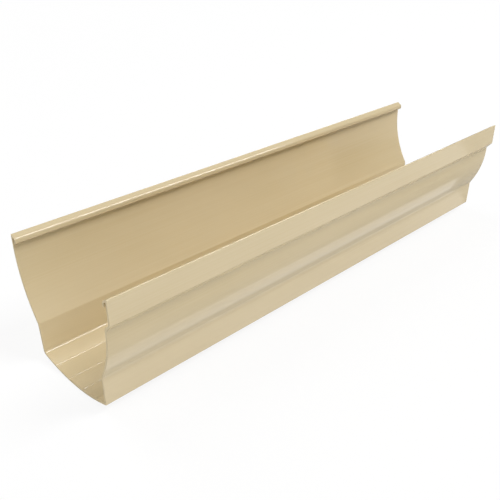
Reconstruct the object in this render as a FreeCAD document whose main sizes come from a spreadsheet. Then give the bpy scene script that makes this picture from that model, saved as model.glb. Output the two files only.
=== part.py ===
"""Short length of moulded-front house gutter, extruded in one piece from rigid PVC-U.

Frame: +Y along the gutter, +X towards the moulded front, +Z up. The origin is on the lowest line of
the underside, at mid length and mid width. All sizes are in millimetres.
"""
import os
from math import atan2, hypot, sqrt

import FreeCAD
import Part
import Sketcher

# ---- driving dimensions ------------------------------------------------------------------------
SIZES = {
    # whole piece
    "gutter_length": 591.0,    # along Y, as sawn
    "gutter_width": 150.0,     # back face to fascia
    "gutter_depth": 125.3,     # underside to the top edges, before they are rounded
    "wall": 2.0,               # thickness of the extruded wall
    # back wall: a short upright, a long sweep inwards and an upright foot
    "back_upright": 14.2,      # top edge to the start of the sweep
    "back_radius": 127.0,      # outer radius of the sweep
    "bend_height": 39.6,       # end of the sweep above the underside
    "heel_inset": 24.2,        # lower back corner in from the back face
    # floor: a shallow arc
    "floor_radius": 165.5,     # outer radius
    "floor_offset": -1.4,      # lowest line, from mid width towards the front
    "toe_inset": 21.6,         # lower front corner in from the fascia
    # front wall: fascia, sloping step, ovolo and an upright foot
    "fascia_height": 24.7,
    "step_drop": 7.3,
    "ovolo_inset": 6.3,        # proudest line of the ovolo in from the fascia
    "ovolo_radius": 98.0,
    "ovolo_fall": 34.2,        # top edge to the ovolo's centre
    "foot_height": 39.3,       # lower edge of the ovolo above the underside
    # hooked rim along both top edges
    "rim_reach": 6.6,          # outer face to the hook's inner face
    "rim_fall": 4.1,           # fall of the sloping web over that reach
    "rim_depth": 9.2,          # top edge to the underside of the hook's lip
    "rim_wall": 1.8,           # thickness of web and lip
    # rounded corners, left by the die
    "crest_round": 0.8,        # top edges
    "nose_round": 3.0,         # outside of the hook's bend
    "lip_round": 1.5,          # lower edge of the hook's lip
    "bend_round": 1.5,         # hollow side of the back wall's bend
    "heel_round": 5.0,         # outside of the lower back corner
    "toe_round": 1.0,          # lower front corner
    "step_round": 1.5,         # both corners of the step
    "foot_round": 8.0,         # hollow between the ovolo and its foot
    # fine ridges along the floor, inside
    "ridge_round": 0.5,
    "ridge_pitch": 22.2,
    "ridge_first": -29.9,      # the one nearest the back, from mid width
}
RIDGES = 4

# Places that several features share, as expressions over the sheet: (across, up)
BACK = "-sizes.gutter_width / 2"
FRONT = "sizes.gutter_width / 2"
TOP = "sizes.gutter_depth"
SWEEP_START = "sizes.gutter_depth - sizes.back_upright"
HEEL = "sizes.heel_inset - sizes.gutter_width / 2"
TOE = "sizes.gutter_width / 2 - sizes.toe_inset"
FASCIA_FOOT = "sizes.gutter_depth - sizes.fascia_height"
STEP_FOOT = "sizes.gutter_depth - sizes.fascia_height - sizes.step_drop"
OVOLO_ACROSS = "sizes.gutter_width / 2 - sizes.ovolo_inset - sizes.ovolo_radius"
OVOLO_UP = "sizes.gutter_depth - sizes.ovolo_fall"
CREST_FALL = "sizes.wall * sizes.rim_fall / sizes.rim_reach"

START, END, CENTRE = 1, 2, 3              # points of a sketch's line or arc
ORIGIN = (-1, 1)                          # the sketch's own origin point
SKETCH_NORMAL = FreeCAD.Vector(0, 0, 1)

doc = FreeCAD.newDocument("gutter")
sheet = doc.addObject("Spreadsheet::Sheet", "sizes")
for row, (alias, number) in enumerate(SIZES.items(), start=1):
    sheet.set(f"A{row}", alias)
    sheet.set(f"B{row}", str(number))
    sheet.setAlias(f"B{row}", alias)
doc.recompute()


def value(expression):
    """The number that an expression over the sheet gives."""
    return float(sheet.evalExpression(expression))


# ---- sketching ---------------------------------------------------------------------------------
def section_sketch(body, name):
    """Empty sketch on the body's own XZ plane, across the gutter's length."""
    plane = next(p for p in body.Origin.OriginFeatures if p.Role == "XZ_Plane")
    sketch = body.newObject("Sketcher::SketchObject", name)
    sketch.AttachmentSupport = [(plane, "")]
    sketch.MapMode = "FlatFace"
    return sketch


def rule(sketch, kind, *geometry, size=None):
    """Add one constraint. A size is an expression, to which the constraint is bound."""
    if size is None:
        sketch.addConstraint(Sketcher.Constraint(kind, *geometry))
        return
    index = sketch.addConstraint(Sketcher.Constraint(kind, *geometry, value(size)))
    sketch.setExpression(f"Constraints[{index}]", size)


def place(sketch, point, across=None, up=None):
    """Hold a point at its distances from the sketch's origin."""
    for kind, size in (("DistanceX", across), ("DistanceY", up)):
        if size is None:
            continue
        if value(size) < 0:
            rule(sketch, kind, *point, *ORIGIN, size=f"-({size})")
        else:
            rule(sketch, kind, *ORIGIN, *point, size=size)


def add_line(sketch, start, end):
    return sketch.addGeometry(Part.LineSegment(FreeCAD.Vector(*start), FreeCAD.Vector(*end)))


def add_arc(sketch, centre, start, end):
    """Arc that turns left from start to end about the centre."""
    first = (start[0] - centre[0], start[1] - centre[1])
    last = (end[0] - centre[0], end[1] - centre[1])
    circle = Part.Circle(FreeCAD.Vector(*centre), SKETCH_NORMAL, hypot(*first))
    return sketch.addGeometry(Part.ArcOfCircle(
        circle, atan2(first[1], first[0]), atan2(last[1], last[0])))


def join(sketch, chain):
    """Make the end of each element the start of the next."""
    for this, following in zip(chain, chain[1:]):
        rule(sketch, "Coincident", this, END, following, START)


# ---- the wall: back, floor and front in one band ------------------------------------------------
def wall_face(sketch, thickness):
    """Draw one face of the wall as a chain of eight, from the back's top edge to the front's.

    The outer face has no thickness behind it; the inner face is the same chain moved in by the wall.
    """
    half, depth = value(FRONT), value(TOP)
    sweep = (value("sizes.back_radius") - half, value(SWEEP_START))
    sweep_radius = value("sizes.back_radius") - thickness
    floor = (value("sizes.floor_offset"), value("sizes.floor_radius"))
    floor_radius = value("sizes.floor_radius") - thickness
    ovolo = (value(OVOLO_ACROSS), value(OVOLO_UP))
    ovolo_radius = value("sizes.ovolo_radius") - thickness

    def left_of(centre, radius, up):
        return (centre[0] - sqrt(radius**2 - (up - centre[1])**2), up)

    def right_of(centre, radius, up):
        return (centre[0] + sqrt(radius**2 - (up - centre[1])**2), up)

    def under(centre, radius, across):
        return (across, centre[1] - sqrt(radius**2 - (across - centre[0])**2))

    crest_back = (thickness - half, depth)
    sweep_top = (thickness - half, sweep[1])
    bend = left_of(sweep, sweep_radius, value("sizes.bend_height"))
    heel = under(floor, floor_radius, value(HEEL) + thickness)
    toe = under(floor, floor_radius, value(TOE) - thickness)
    foot = right_of(ovolo, ovolo_radius, value("sizes.foot_height"))
    step = right_of(ovolo, ovolo_radius, value(STEP_FOOT))
    fascia_foot = (half - thickness, value(FASCIA_FOOT))
    crest_front = (half - thickness, depth)

    chain = [
        add_line(sketch, crest_back, sweep_top),
        add_arc(sketch, sweep, sweep_top, bend),
        add_line(sketch, bend, heel),
        add_arc(sketch, floor, heel, toe),
        add_line(sketch, toe, foot),
        add_arc(sketch, ovolo, foot, step),
        add_line(sketch, step, fascia_foot),
        add_line(sketch, fascia_foot, crest_front),
    ]
    rule(sketch, "Tangent", chain[0], END, chain[1], START)
    join(sketch, chain[1:])
    rule(sketch, "Vertical", chain[0])
    rule(sketch, "Vertical", chain[7])
    return chain


def draw_wall(sketch):
    """Closed outline of the wall. Its top edges lie in line with the sloping webs of the rims."""
    outer = wall_face(sketch, 0.0)
    back, sweep, back_foot, floor, front_foot, ovolo, step, fascia = outer
    rule(sketch, "Radius", sweep, size="sizes.back_radius")
    rule(sketch, "Radius", floor, size="sizes.floor_radius")
    rule(sketch, "Radius", ovolo, size="sizes.ovolo_radius")
    place(sketch, (back, START), across=BACK, up=TOP)
    place(sketch, (back, END), up=SWEEP_START)
    place(sketch, (sweep, END), up="sizes.bend_height")
    place(sketch, (floor, CENTRE), across="sizes.floor_offset", up="sizes.floor_radius")
    place(sketch, (floor, START), across=HEEL)
    place(sketch, (floor, END), across=TOE)
    place(sketch, (ovolo, CENTRE), across=OVOLO_ACROSS, up=OVOLO_UP)
    place(sketch, (ovolo, START), up="sizes.foot_height")
    place(sketch, (ovolo, END), up=STEP_FOOT)
    place(sketch, (fascia, START), across=FRONT, up=FASCIA_FOOT)
    place(sketch, (fascia, END), up=TOP)

    inner = wall_face(sketch, value("sizes.wall"))
    for element, radius in ((1, "back_radius"), (3, "floor_radius"), (5, "ovolo_radius")):
        rule(sketch, "Coincident", outer[element], CENTRE, inner[element], CENTRE)
        rule(sketch, "Radius", inner[element], size=f"sizes.{radius} - sizes.wall")
    for element in (2, 4, 6):
        rule(sketch, "Parallel", outer[element], inner[element])
        rule(sketch, "Distance", inner[element], START, outer[element], size="sizes.wall")
    place(sketch, (inner[7], END), across=f"{FRONT} - sizes.wall")

    for outside, inside, point in ((back, inner[0], START), (fascia, inner[7], END)):
        corner = sketch.getPoint(outside, point)
        across = sketch.getPoint(inside, point)
        crest = add_line(sketch, (corner.x, corner.y), (across.x, across.y))
        rule(sketch, "Coincident", crest, START, outside, point)
        rule(sketch, "Coincident", crest, END, inside, point)
        rule(sketch, "DistanceY", crest, END, crest, START, size=CREST_FALL)
    return outer, inner


# ---- the hooked rims ----------------------------------------------------------------------------
def draw_rim(sketch, side):
    """Hook along one top edge: a web that slopes inwards and a lip that hangs from it.

    side is -1 for the back and +1 for the front.
    """
    def across(inset):
        return f"{side} * (sizes.gutter_width / 2 - ({inset}))"

    face, hook = across("0"), across("sizes.rim_reach")
    lip = across("sizes.rim_reach - sizes.rim_wall")
    nose_up = f"{TOP} - sizes.rim_fall"
    lip_up = f"{TOP} - sizes.rim_depth"
    web_below = value("sizes.rim_wall") * hypot(1, value("sizes.rim_fall / sizes.rim_reach"))
    corners = [
        (value(face), value(TOP)),
        (value(hook), value(nose_up)),
        (value(hook), value(lip_up)),
        (value(lip), value(lip_up)),
        (value(lip), value(nose_up) - web_below),
        (value(face), value(TOP) - web_below),
    ]
    web_top, lip_inner, lip_end, lip_outer, web_under, root = outline = [
        add_line(sketch, this, following)
        for this, following in zip(corners, corners[1:] + corners[:1])]
    join(sketch, outline + [web_top])
    rule(sketch, "Vertical", lip_inner)
    rule(sketch, "Horizontal", lip_end)
    rule(sketch, "Vertical", lip_outer)
    rule(sketch, "Vertical", root)
    rule(sketch, "Parallel", web_top, web_under)
    rule(sketch, "Distance", web_under, START, web_top, size="sizes.rim_wall")
    place(sketch, (web_top, START), across=face, up=TOP)
    place(sketch, (web_top, END), across=hook, up=nose_up)
    place(sketch, (lip_end, START), up=lip_up)
    place(sketch, (lip_outer, START), across=lip)
    return outline


def draw_ridges(sketch):
    """One small circle for each ridge, centred on the floor's inner face."""
    for count in range(RIDGES):
        across = f"sizes.ridge_first + {count} * sizes.ridge_pitch"
        up = (f"sizes.floor_radius - sqrt((sizes.floor_radius - sizes.wall)^2"
              f" - ({across} - sizes.floor_offset)^2)")
        centre = FreeCAD.Vector(value(across), value(up))
        circle = sketch.addGeometry(
            Part.Circle(centre, SKETCH_NORMAL, value("sizes.ridge_round")))
        rule(sketch, "Radius", circle, size="sizes.ridge_round")
        place(sketch, (circle, CENTRE), across=across, up=up)


# ---- features -----------------------------------------------------------------------------------
def extrude(body, sketch):
    """Run the sketched section along the whole length, half to each side."""
    pad = body.newObject("PartDesign::Pad", f"{sketch.Name}_run")
    pad.Profile = sketch
    pad.SideType = "Symmetric"
    pad.setExpression("Length", "sizes.gutter_length")
    doc.recompute()
    return pad


def edges_at(shape, points):
    """Names of the edges that run along the gutter through these points of its section."""
    names = []
    for across, up in points:
        found = [f"Edge{number}" for number, edge in enumerate(shape.Edges, start=1)
                 if all(abs(v.X - across) + abs(v.Z - up) < 0.01 for v in edge.Vertexes)
                 and edge.Length > value("sizes.gutter_length") / 2]
        if len(found) != 1:
            raise ValueError(f"{len(found)} edges at {across:.2f}, {up:.2f}")
        names += found
    return names


def round_off(body, name, points, radius):
    """Round the long edges through these points of the section."""
    base = body.Tip
    fillet = body.newObject("PartDesign::Fillet", name)
    fillet.Base = (base, edges_at(base.Shape, points))
    fillet.setExpression("Radius", radius)
    doc.recompute()


def sketched(sketch, *ends):
    """Places of sketched points, each given as (element, point)."""
    return [(sketch.getPoint(*end).x, sketch.getPoint(*end).y) for end in ends]


def build_profile():
    """The extruded gutter profile, with its ridges."""
    body = doc.addObject("PartDesign::Body", "gutter_profile")
    body.Label = "gutter_profile"

    wall = section_sketch(body, "wall_section")
    outer, inner = draw_wall(wall)
    extrude(body, wall)

    rims = []
    for name, side in (("back_rim", -1), ("front_rim", 1)):
        rim = section_sketch(body, name)
        rims.append((rim, draw_rim(rim, side)))
        extrude(body, rim)

    crests = sketched(wall, (outer[0], START), (outer[7], END))
    noses, hollows, lips = [], [], []
    for rim, (web_top, lip_inner, lip_end, lip_outer, web_under, root) in rims:
        noses += sketched(rim, (web_top, END))
        hollows += sketched(rim, (web_under, START))
        lips += sketched(rim, (lip_end, START))
    round_off(body, "crest_edges", crests, "sizes.crest_round")
    round_off(body, "hook_noses", noses, "sizes.nose_round")
    round_off(body, "hook_hollows", hollows, "sizes.nose_round - sizes.rim_wall")
    round_off(body, "lip_edges", lips, "sizes.lip_round")

    corners = (
        ("bend", 1, "sizes.bend_round", "sizes.bend_round + sizes.wall"),
        ("heel", 2, "sizes.heel_round", "sizes.heel_round - sizes.wall"),
        ("toe", 3, "sizes.toe_round", "sizes.toe_round"),
        ("foot", 4, "sizes.foot_round", "sizes.foot_round + sizes.wall"),
        ("step", 5, "sizes.step_round", "sizes.step_round"),
        ("fascia", 6, "sizes.step_round", "sizes.step_round"),
    )
    for name, element, outer_radius, inner_radius in corners:
        round_off(body, f"{name}_outside", sketched(wall, (outer[element], END)), outer_radius)
        round_off(body, f"{name}_inside", sketched(wall, (inner[element], END)), inner_radius)

    ridges = section_sketch(body, "floor_ridges")
    draw_ridges(ridges)
    extrude(body, ridges)
    return body


# ---- build, check and export ---------------------------------------------------------------------
profile = build_profile()
doc.recompute()
for thing in doc.Objects:
    if "Invalid" in thing.State or "Error" in thing.State:
        raise RuntimeError(f"{thing.Name} did not build: {thing.State}")
for thing in (profile,):
    if thing.Shape.isNull() or not thing.Shape.isValid() or len(thing.Shape.Solids) != 1:
        raise RuntimeError(f"{thing.Label} is not one valid solid")

os.makedirs("parts", exist_ok=True)
for thing in (profile,):
    thing.Shape.exportStep(f"parts/{thing.Label}.step")
    box = thing.Shape.BoundBox
    print(f"{thing.Label}: {box.XLength:.1f} x {box.YLength:.1f} x {box.ZLength:.1f} mm,"
          f" {thing.Shape.Volume / 1000:.1f} cm3")
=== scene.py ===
from math import cos, pi, radians, sin

import bpy
import numpy as np
from mathutils import Matrix, Vector


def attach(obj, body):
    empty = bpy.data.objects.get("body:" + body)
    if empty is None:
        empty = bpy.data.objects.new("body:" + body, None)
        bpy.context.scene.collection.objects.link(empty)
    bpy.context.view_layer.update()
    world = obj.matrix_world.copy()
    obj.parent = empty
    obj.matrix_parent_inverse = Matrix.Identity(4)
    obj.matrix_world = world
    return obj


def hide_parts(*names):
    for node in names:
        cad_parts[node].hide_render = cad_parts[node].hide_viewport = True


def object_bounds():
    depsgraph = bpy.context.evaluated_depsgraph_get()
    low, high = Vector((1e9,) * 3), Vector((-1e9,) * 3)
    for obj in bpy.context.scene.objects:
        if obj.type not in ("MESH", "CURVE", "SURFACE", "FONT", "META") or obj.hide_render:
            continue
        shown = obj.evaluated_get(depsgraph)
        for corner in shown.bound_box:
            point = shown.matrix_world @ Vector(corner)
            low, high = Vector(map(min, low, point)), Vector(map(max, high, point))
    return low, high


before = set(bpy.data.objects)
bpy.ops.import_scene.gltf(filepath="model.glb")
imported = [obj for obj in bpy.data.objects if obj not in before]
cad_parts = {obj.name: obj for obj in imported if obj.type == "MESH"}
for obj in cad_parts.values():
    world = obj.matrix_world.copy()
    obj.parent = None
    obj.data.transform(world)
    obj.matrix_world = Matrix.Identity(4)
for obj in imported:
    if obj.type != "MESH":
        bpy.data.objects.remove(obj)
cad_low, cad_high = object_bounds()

# ---- gutter profile ----------------------------------------------------------------------------
# A short length of moulded-front house gutter in sand-coloured rigid PVC-U: one band 2 mm thick,
# from the back wall's hooked rim, under the floor, to the front's. It is extruded through a steel
# die, cooled in a calibrator that polishes it lengthwise, and sawn off square at both ends.

MM = 0.001

half_width, half_length = cad_high.x, cad_high.y
depth = 125.3 * MM                      # to the top edges as if they were sharp
wall, rim_wall = 2.0 * MM, 1.8 * MM
# Hooked rims: reach of the sloping web, its fall, and top edge to the lip's lower edge.
rim_reach, rim_fall, rim_depth = 6.6 * MM, 4.1 * MM, 9.2 * MM
# Back wall: a short upright, a sweep inwards and a foot.
back_upright, sweep_radius = 14.2 * MM, 127.0 * MM
bend_height, heel_inset = 39.6 * MM, 24.2 * MM
# Floor: a shallow arc, lowest a little to the back of the middle.
floor_radius, floor_offset = 165.5 * MM, -1.4 * MM
# Front wall: a foot, an ovolo, a sloping step and the fascia.
toe_inset, foot_height = 21.6 * MM, 39.3 * MM
ovolo_radius, ovolo_inset, ovolo_fall = 98.0 * MM, 6.3 * MM, 34.2 * MM
step_drop, fascia_height = 7.3 * MM, 24.7 * MM

# Places in the section are complex numbers: across the gutter + 1j * up.
sweep_centre = sweep_radius - half_width + 1j * (depth - back_upright)
floor_centre = floor_offset + 1j * floor_radius
ovolo_centre = half_width - ovolo_inset - ovolo_radius + 1j * (depth - ovolo_fall)

# Fine ridges left by the die along the inside of the floor. They stand for 0.5 mm ones and are
# lower, so that they catch no more light.
ridge_places = (-29.9 + 22.2 * np.arange(4)) * MM
ridge_height, ridge_spread = 0.3 * MM, 0.47 * MM
floor_top = 12.0 * MM                   # the ridged part of the floor lies lower

leg_samples = {4: 50, 6: 800, 8: 40}    # on the curved legs; the floor's must show the ridges
straight_samples = 4
bend_samples = 10                       # steps round each small corner
station_count = 19                      # rings of points between the two edge breaks
settle = 0.3 * MM                       # first step away from a corner, so that flats stay flat
sharp_turn = 30                         # degrees; the shading breaks at edges that turn more
edge_break = 0.25 * MM                  # the saw's burr, scraped off both cut ends


def cross(a, b):
    """Cross product of two directions: conj(a) b, its part along 1j."""
    return (np.conj(a) * b).imag


def circle_at(centre, radius, across=None, up=None, side=1):
    """Point of a circle: under its centre at a given across, or to one side at a given height.

    The other coordinate is the centre's, less or plus sqrt(radius^2 - offset^2).
    """
    if up is None:
        return across + 1j * (centre.imag - np.sqrt(radius**2 - (across - centre.real)**2))
    return centre.real + side * np.sqrt(radius**2 - (up - centre.imag)**2) + 1j * up


def rim_corners(side):
    """Middle and outer edge of the lip, nose and crest of a hooked rim. side is -1 at the back."""
    lip = half_width - rim_reach
    places = ((lip + rim_wall / 2, rim_depth), (lip, rim_depth), (lip, rim_fall), (half_width, 0.0))
    return [side * across + 1j * (depth - fall) for across, fall in places]


# Corners of the outer face, from the back rim's lip to the front rim's. Leg k runs from corner k to
# the next: straight, or round one of the three centres. The inner face has the same legs.
outer_corners = np.array([
    *rim_corners(-1),
    -half_width + 1j * sweep_centre.imag,
    circle_at(sweep_centre, sweep_radius, up=bend_height, side=-1),
    circle_at(floor_centre, floor_radius, across=heel_inset - half_width),
    circle_at(floor_centre, floor_radius, across=half_width - toe_inset),
    circle_at(ovolo_centre, ovolo_radius, up=foot_height),
    circle_at(ovolo_centre, ovolo_radius, up=depth - fascia_height - step_drop),
    half_width + 1j * (depth - fascia_height),
    *rim_corners(1)[::-1],
])
centres = {4: sweep_centre, 6: floor_centre, 8: ovolo_centre}
# Rounding radii at the corners from lip to lip, left by the die.
outer_rounds = np.array([1.5, 3.0, 0.8, 0.0, 1.5, 5.0, 1.0, 8.0, 1.5, 1.5, 0.8, 3.0, 1.5]) * MM
inner_rounds = np.array([0.4, 1.2, 0.2, 0.0, 3.5, 3.0, 1.0, 10.0, 1.5, 1.5, 0.2, 1.2, 0.4]) * MM


def along(corners, leg, s):
    """Points and headings at distances s along a leg.

    A straight leg is start + s u; one round a centre c is c + (start - c) exp(1j s / radius).
    """
    start = corners[leg]
    if leg not in centres:
        heading = (corners[leg + 1] - start) / abs(corners[leg + 1] - start)
        return start + s * heading, heading + 0 * s
    reach = start - centres[leg]
    spin = np.exp(1j * s / abs(reach))
    return centres[leg] + reach * spin, 1j * reach * spin / abs(reach)


def leg_length(corners, leg):
    """Distance between a leg's corners, or radius x the angle between them round its centre."""
    start, end = corners[leg], corners[leg + 1]
    if leg not in centres:
        return abs(end - start)
    return abs(start - centres[leg]) * np.angle((end - centres[leg]) / (start - centres[leg]))


def inner_corners():
    """Corners of the inner face: each leg moved in by the thickness, up to where the next one is.

    Two lines p + s u and q + t v cross at s = cross(q - p, v) / cross(u, v). A line crosses a
    circle at s = -b +- sqrt(b^2 - |p - c|^2 + r^2), b being the dot product of p - c and u.
    """
    legs = range(1, len(outer_corners) - 2)
    moved = {}
    for leg in legs:
        thickness = rim_wall if leg in (*legs[:2], *legs[-2:]) else wall
        start, heading = along(outer_corners, leg, 0.0)
        moved[leg] = start + thickness * 1j * heading, heading
    corners = [outer_corners[0], moved[legs[0]][0]]
    for before, after in zip(legs, legs[1:]):
        (p, u), (q, v) = moved[before], moved[after]
        if before not in centres and after not in centres:
            corners.append(p + cross(q - p, v) / cross(u, v) * u)
            continue
        curved, (p, u) = (before, (q, v)) if before in centres else (after, (p, u))
        radius = abs(moved[curved][0] - centres[curved])
        away = p - centres[curved]
        b = (away * np.conj(u)).real
        root = np.sqrt(max(b * b - abs(away)**2 + radius**2, 0.0))
        crossings = [p + (sign * root - b) * u for sign in (-1, 1)]
        corners.append(min(crossings, key=lambda place: abs(place - outer_corners[after])))
    corners += [outer_corners[-2] + rim_wall * 1j * moved[legs[-1]][1], outer_corners[-1]]
    return np.array(corners)


def rounded(corners, rounds):
    """Points along one face, with its corners rounded.

    Each leg is cut back at a corner by radius x tan(turn / 2). A cubic joins the cut ends along
    their headings, with handles of 4/3 tan(turn / 4) x radius, which draws a circle's arc.
    """
    last_leg = len(corners) - 2
    lengths = [leg_length(corners, leg) for leg in range(last_leg + 1)]
    turns = [abs(np.angle(along(corners, leg + 1, 0.0)[1] / along(corners, leg, lengths[leg])[1]))
             for leg in range(last_leg)]
    cuts = np.concatenate([[0.0], rounds * np.tan(np.array(turns) / 2), [0.0]])
    points = []
    for leg, length in enumerate(lengths):
        low, high = cuts[leg], length - cuts[leg + 1]
        first_step = min(settle, (high - low) / 4)
        samples = leg_samples.get(leg, straight_samples)
        inside = np.linspace(low + first_step, high - first_step, samples)
        places, headings = along(corners, leg, np.concatenate([[low], inside, [high]]))
        points.append(places)
        if leg == last_leg:
            break
        if rounds[leg] == 0:
            points[-1] = places[:-1]
            continue
        start, before = places[-1], headings[-1]
        end, after = along(corners, leg + 1, cuts[leg + 1])
        turn = abs(np.angle(after / before))
        handle = 4 / 3 * np.tan(turn / 4) * abs(end - start) / (2 * np.sin(turn / 2))
        t = np.arange(1, bend_samples) / bend_samples
        points.append((1 - t)**3 * start + 3 * (1 - t)**2 * t * (start + handle * before)
                      + 3 * (1 - t) * t**2 * (end - handle * after) + t**3 * end)
    return np.concatenate(points)


def profile_outline():
    """The closed outline, turning left: the outer face, then the inner face backwards.

    A ridge adds height x (1 + cos(pi x away / spread)) / 2 to the inside of the floor.
    """
    outer = rounded(outer_corners, outer_rounds)
    inner = rounded(inner_corners(), inner_rounds)
    for place in ridge_places:
        away = abs(inner.real - place)
        on_ridge = (away < ridge_spread) & (inner.imag < floor_top)
        swell = (1 + np.cos(np.pi * away[on_ridge] / ridge_spread)) / 2
        inner[on_ridge] += 1j * ridge_height * swell
    return np.concatenate([outer, inner[-2:0:-1]])


def extruded_profile():
    """Carry the outline along Y, one ring of points at each station, and close both ends.

    The end rings are moved into the material by the edge break, along the outline's normals.
    """
    outline = profile_outline()
    ahead = np.roll(outline, -1) - np.roll(outline, 1)
    outward = -1j * ahead / abs(ahead)
    reach = half_length - edge_break
    between = np.linspace(-reach, reach, station_count)
    stations = np.concatenate([[-half_length], between, [half_length]])
    inset = edge_break * (abs(stations) > reach + edge_break / 2)
    rings = outline[None, :] - inset[:, None] * outward[None, :]
    along_y = np.broadcast_to(stations[:, None], rings.shape)
    vertices = np.stack([rings.real, along_y, rings.imag], axis=-1).reshape(-1, 3)

    around = len(outline)
    i = np.arange(around)
    k = np.arange(len(stations) - 1)[:, None] * around
    j = (i + 1) % around
    sides = np.stack([k + j, k + i, k + i + around, k + j + around], axis=-1).reshape(-1, 4)
    # Row r of the outer face is vertex r, and row r of the inner face is vertex -r, so that each
    # cap is a strip of quads, with a triangle at each lip.
    row = np.arange(1, around // 2 - 1)
    strip = np.stack([row, row + 1, around - row - 1, around - row], axis=-1)
    lips = np.array([[0, 1, around - 1], [around // 2 - 1, around // 2, around // 2 + 1]])
    last_ring = len(vertices) - around
    near = strip.tolist() + lips.tolist()
    far = (last_ring + strip[:, ::-1]).tolist() + (last_ring + lips[:, ::-1]).tolist()
    mesh = bpy.data.meshes.new("gutter_profile_shell")
    mesh.from_pydata(vertices.tolist(), [], sides.tolist() + near + far)
    mesh.materials.append(extruded_pvc())
    mesh.materials.append(sawn_pvc())
    # The sawn material takes both caps and the edge breaks, which are the first and last rings.
    cut = np.ones(len(sides) + len(near) + len(far), np.int32)
    cut[around:len(sides) - around] = 0
    mesh.polygons.foreach_set("material_index", cut)
    mesh.polygons.foreach_set("use_smooth", np.ones(len(cut), bool))
    mesh.set_sharp_from_angle(angle=radians(sharp_turn))
    mesh.validate()
    piece = bpy.data.objects.new("gutter_profile_shell", mesh)
    bpy.context.scene.collection.objects.link(piece)
    return piece


def linear(code):
    """Linear colour of an sRGB hex code."""
    srgb = np.array([int(code[k:k + 2], 16) for k in (1, 3, 5)]) / 255
    flat = np.where(srgb <= 0.04045, srgb / 12.92, ((srgb + 0.055) / 1.055) ** 2.4)
    return (*flat.tolist(), 1.0)


def add(tree, kind, links=(), **settings):
    """Add a node. A setting names an input or a property; a link is (input, source socket)."""
    node = tree.nodes.new(kind)
    for name, setting in settings.items():
        if hasattr(node, name):
            setattr(node, name, setting)
        else:
            node.inputs[name.replace("_", " ")].default_value = setting
    for name, source in links:
        tree.links.new(source, node.inputs[name])
    return node


# A Mix node's two colours and their mixture, as numbers of its inputs and outputs.
first_colour, second_colour, mixture = 6, 7, 2


def node_material(name):
    """An empty material and its node tree."""
    material = bpy.data.materials.new(name)
    material.use_nodes = True
    material.node_tree.nodes.clear()
    return material, material.node_tree


def extruded_pvc():
    """Rigid PVC-U in a sand colour, polished by the calibrator that it is drawn through: a clear
    gloss broken by faint lengthwise die lines, and a colour that clouds where pigment gathers."""
    material, tree = node_material("extruded_pvc_sand")
    place = add(tree, "ShaderNodeTexCoord").outputs["Object"]
    # Clouds 70 mm across and four times as long: 14 and 3.5 to the metre.
    cloud_place = add(tree, "ShaderNodeMapping", [("Vector", place)], Scale=(14, 3.5, 14))
    clouds = add(tree, "ShaderNodeTexNoise", [("Vector", cloud_place.outputs[0])],
                 Scale=1.0, Detail=3.0)
    # Die lines are about 0.1 mm apart and are drawn 1.2 mm apart, 830 to the metre, the finest
    # that shows. Each runs for 250 mm.
    line_place = add(tree, "ShaderNodeMapping", [("Vector", place)], Scale=(830, 4, 830))
    lines = add(tree, "ShaderNodeTexNoise", [("Vector", line_place.outputs[0])],
                Scale=1.0, Detail=2.0)
    # Slow waves, 25 mm across and 150 mm long, left by uneven cooling: 40 and 6.7 to the metre.
    wave_place = add(tree, "ShaderNodeMapping", [("Vector", place)], Scale=(40, 6.7, 40))
    waves = add(tree, "ShaderNodeTexNoise", [("Vector", wave_place.outputs[0])],
                Scale=1.0, Detail=1.0)
    # Sand colour from deep to pale in the clouds, and paler still by up to a third in the lines.
    tint = add(tree, "ShaderNodeMapRange", [("Value", clouds.outputs["Fac"])],
               From_Min=0.3, From_Max=0.7)
    clouded = add(tree, "ShaderNodeMix", [("Factor", tint.outputs[0])], data_type="RGBA")
    clouded.inputs[first_colour].default_value = linear("#d3c19a")
    clouded.inputs[second_colour].default_value = linear("#dac9a5")
    streak = add(tree, "ShaderNodeMapRange", [("Value", lines.outputs["Fac"])],
                 From_Min=0.3, From_Max=0.7, To_Min=0.0, To_Max=0.35)
    streaked = add(tree, "ShaderNodeMix",
                   [("Factor", streak.outputs[0]), (first_colour, clouded.outputs[mixture])],
                   data_type="RGBA")
    streaked.inputs[second_colour].default_value = linear("#ddceac")
    gloss = add(tree, "ShaderNodeMapRange", [("Value", lines.outputs["Fac"])],
                From_Min=0.3, From_Max=0.7, To_Min=0.07, To_Max=0.13)
    wavy = add(tree, "ShaderNodeBump", [("Height", waves.outputs["Fac"])],
               Strength=1.0, Distance=0.02 * MM)
    lined = add(tree, "ShaderNodeBump",
                [("Height", lines.outputs["Fac"]), ("Normal", wavy.outputs[0])],
                Strength=1.0, Distance=0.003 * MM)
    surface = add(tree, "ShaderNodeBsdfPrincipled",
                  [("Base Color", streaked.outputs[mixture]), ("Roughness", gloss.outputs[0]),
                   ("Normal", lined.outputs[0])], IOR=1.53)
    add(tree, "ShaderNodeOutputMaterial", [("Surface", surface.outputs[0])])
    return material


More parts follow.
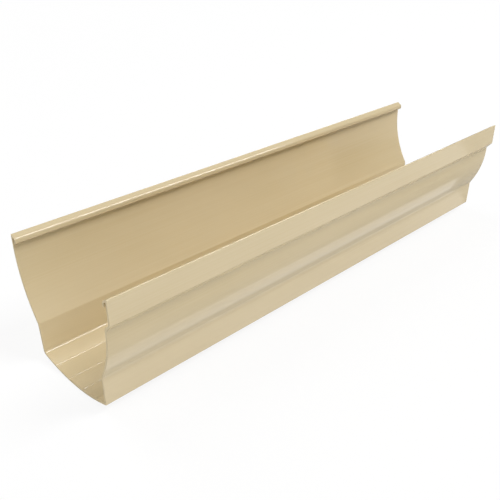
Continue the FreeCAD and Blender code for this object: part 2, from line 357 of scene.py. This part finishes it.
def sawn_pvc():
    """The edge left by a fine-toothed saw: the same plastic with its gloss gone, scored across the
    wall by the teeth and a little darkened by the dust that stays in the scores."""
    material, tree = node_material("sawn_pvc_edge")
    place = add(tree, "ShaderNodeTexCoord").outputs["Object"]
    # Scores are about 0.3 mm apart and are drawn 1.5 mm apart, the finest that shows. A wave
    # texture repeats every 314 mm at scale 1.
    turned = add(tree, "ShaderNodeMapping", [("Vector", place)], Rotation=(0, radians(35), 0))
    scores = add(tree, "ShaderNodeTexWave", [("Vector", turned.outputs[0])],
                 Scale=210.0, Distortion=3.0, Detail=2.0, Detail_Scale=1.5)
    # Dust gathers in patches 5.5 mm across, 180 to the metre.
    dust = add(tree, "ShaderNodeTexNoise", [("Vector", place)], Scale=180.0, Detail=3.0)
    dark = add(tree, "ShaderNodeMath", [(0, scores.outputs["Fac"]), (1, dust.outputs["Fac"])],
               operation="MULTIPLY")
    edge = add(tree, "ShaderNodeMix", [("Factor", dark.outputs[0])], data_type="RGBA")
    edge.inputs[first_colour].default_value = linear("#d6c5a0")
    edge.inputs[second_colour].default_value = linear("#c4b28c")
    dull = add(tree, "ShaderNodeMapRange", [("Value", dust.outputs["Fac"])],
               To_Min=0.45, To_Max=0.7)
    scored = add(tree, "ShaderNodeBump", [("Height", scores.outputs["Fac"])],
                 Strength=1.0, Distance=0.06 * MM)
    surface = add(tree, "ShaderNodeBsdfPrincipled",
                  [("Base Color", edge.outputs[mixture]), ("Roughness", dull.outputs[0]),
                   ("Normal", scored.outputs[0])], IOR=1.53)
    add(tree, "ShaderNodeOutputMaterial", [("Surface", surface.outputs[0])])
    return material


gutter = extruded_profile()
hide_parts("gutter_profile")
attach(gutter, "root")

# ---- floor, light and camera -------------------------------------------------------------------
# A plain white floor under soft studio light. The camera sees it white, with a faint shadow. Gloss
# on the gutter sees a painted reflection there: glowing bands like a white board on a grey table.

floor_reach = 9.0                       # metres, each way
camera_glow = 0.88                      # share of plain white in the floor that the camera sees
fade_start, fade_end = 1.0, 3.0         # metres from the middle; past them no shadow is left

# Painted reflection: the glow that gloss sees on the floor, at distances in metres in front of the
# gutter's middle: painted shade at its foot, a white strip, the table, the board, and the table
# again.
# Painted shade: gloss sees this darker grey at the gutter's foot in place of its real shadow.
painted_shade = 0.5
painted_zones = ((0.0585, painted_shade), (0.0595, 1.0), (0.089, 1.0), (0.09, 0.4), (0.172, 0.4),
                   (0.182, 1.0), (0.25, 1.0), (0.27, 0.35))
painted_far_grey = 0.25
ramp_reach = 0.4                        # metres across that the pattern spans
# The painted strip and board end aslant, where y - slant x passes these.
end_slant, end_start, end_stop, past_end = 1.3, 0.222, 0.232, 0.44


def white_floor():
    """Diffuse white; to the camera mostly a glow of strength 1; to gloss a painted reflection:
    glowing bands like a board on a table, with painted shade at the gutter's foot.
    """
    material, tree = node_material("white_floor")
    path = add(tree, "ShaderNodeLightPath")
    spot = add(tree, "ShaderNodeNewGeometry").outputs["Position"]
    place = add(tree, "ShaderNodeSeparateXYZ", [("Vector", spot)])
    paint = add(tree, "ShaderNodeBsdfDiffuse", Color=linear("#f5f5f5"))
    # To the camera. The shadow fades out far away, so that no horizon shows.
    glow = add(tree, "ShaderNodeEmission", Strength=1.0)
    away = add(tree, "ShaderNodeVectorMath", [(0, spot)], operation="LENGTH")
    glowing = add(tree, "ShaderNodeMapRange", [("Value", away.outputs["Value"])],
                  From_Min=fade_start, From_Max=fade_end, To_Min=camera_glow)
    seen = add(tree, "ShaderNodeMixShader",
               [("Fac", glowing.outputs[0]), (1, paint.outputs[0]), (2, glow.outputs[0])])
    # To gloss: a painted reflection, glowing bands in place of the lit floor.
    across = add(tree, "ShaderNodeMath", [(0, place.outputs["X"])], operation="MULTIPLY")
    across.inputs[1].default_value = 1 / ramp_reach
    painted_bands = add(tree, "ShaderNodeValToRGB", [("Fac", across.outputs[0])])
    ramp = painted_bands.color_ramp
    for metres, grey in painted_zones:
        ramp.elements.new(metres / ramp_reach).color = (grey, grey, grey, 1)
    ramp.elements[0].color = (painted_shade, painted_shade, painted_shade, 1)
    ramp.elements[-1].color = (painted_far_grey, painted_far_grey, painted_far_grey, 1)
    aslant = add(tree, "ShaderNodeMath", [(0, place.outputs["X"]), (2, place.outputs["Y"])],
                 operation="MULTIPLY_ADD")
    aslant.inputs[1].default_value = -end_slant
    end = add(tree, "ShaderNodeMapRange", [("Value", aslant.outputs[0])],
              From_Min=end_start, From_Max=end_stop)
    ended = add(tree, "ShaderNodeMix",
                [("Factor", end.outputs[0]), (first_colour, painted_bands.outputs["Color"])],
                data_type="RGBA")
    ended.inputs[second_colour].default_value = (past_end, past_end, past_end, 1)
    # The painted reflection: this pattern glows for gloss in place of the lit floor.
    painted_reflection = add(tree, "ShaderNodeEmission", [("Color", ended.outputs[mixture])], Strength=1.0)
    lit_or_painted = add(tree, "ShaderNodeMixShader",
              [("Fac", path.outputs["Is Glossy Ray"]), (1, paint.outputs[0]),
               (2, painted_reflection.outputs[0])])
    whole = add(tree, "ShaderNodeMixShader",
                [("Fac", path.outputs["Is Camera Ray"]), (1, lit_or_painted.outputs[0]), (2, seen.outputs[0])])
    add(tree, "ShaderNodeOutputMaterial", [("Surface", whole.outputs[0])])
    return material


floor_mesh = bpy.data.meshes.new("floor")
floor_mesh.from_pydata([(-floor_reach, -floor_reach, 0), (floor_reach, -floor_reach, 0),
                        (floor_reach, floor_reach, 0), (-floor_reach, floor_reach, 0)],
                       [], [(0, 1, 2, 3)])
floor_mesh.materials.append(white_floor())
floor = bpy.data.objects.new("floor", floor_mesh)
bpy.context.scene.collection.objects.link(floor)

# The world is plain white to the camera and a weak fill light to everything else.
fill_light = 0.1
world = bpy.data.worlds.new("studio")
bpy.context.scene.world = world
world.use_nodes = True
world.node_tree.nodes.clear()
world_path = add(world.node_tree, "ShaderNodeLightPath")
brightness = add(world.node_tree, "ShaderNodeMapRange",
                 [("Value", world_path.outputs["Is Camera Ray"])], To_Min=fill_light)
sky = add(world.node_tree, "ShaderNodeBackground", [("Strength", brightness.outputs[0])],
          Color=linear("#ffffff"))
add(world.node_tree, "ShaderNodeOutputWorld", [("Surface", sky.outputs[0])])

lamp_distance = 6.0                     # metres


def softbox(name, azimuth, elevation, width, length, level):
    """A rectangular lamp, one side square to the gutter's length. Its level is what a white card
    turned to it would show: power / (pi x distance)^2."""
    lamp = bpy.data.lights.new(name, "AREA")
    lamp.shape = "RECTANGLE"
    lamp.size, lamp.size_y = width, length
    lamp.energy = level * (lamp_distance * pi) ** 2
    turn, rise = radians(azimuth), radians(elevation)
    toward = Vector((cos(rise) * cos(turn), cos(rise) * sin(turn), sin(rise)))
    side = Vector((0, 1, 0)).cross(toward).normalized()
    holder = bpy.data.objects.new(name, lamp)
    holder.location = lamp_distance * toward
    holder.rotation_euler = Matrix((side, toward.cross(side), toward)).transposed().to_euler()
    bpy.context.scene.collection.objects.link(holder)


# Azimuth and elevation in degrees, width and length in metres, level.
softbox("key_softbox", 48, 49, 2.2, 3.2, 0.75)
softbox("near_softbox", 265, 36, 4.8, 3.6, 0.37)
softbox("back_softbox", 185, 55, 4.8, 3.0, 0.33)
softbox("far_low_softbox", 135, 12, 1.5, 3.0, 0.20)
softbox("front_softbox", 350, 20, 1.8, 3.6, 0.09)

# The camera stands in front of the near end and looks down along the gutter.
look_down, look_left = 28.649, 45.632   # degrees
camera = bpy.data.objects.new("camera", bpy.data.cameras.new("camera"))
camera.data.lens = 47.17
camera.data.sensor_width = 36
camera.location = (0.4387, -0.5032, 0.3885)
camera.rotation_euler = (radians(90 - look_down), 0, radians(look_left))
bpy.context.scene.collection.objects.link(camera)
bpy.context.scene.camera = camera
bpy.context.scene.view_settings.view_transform = "Standard"
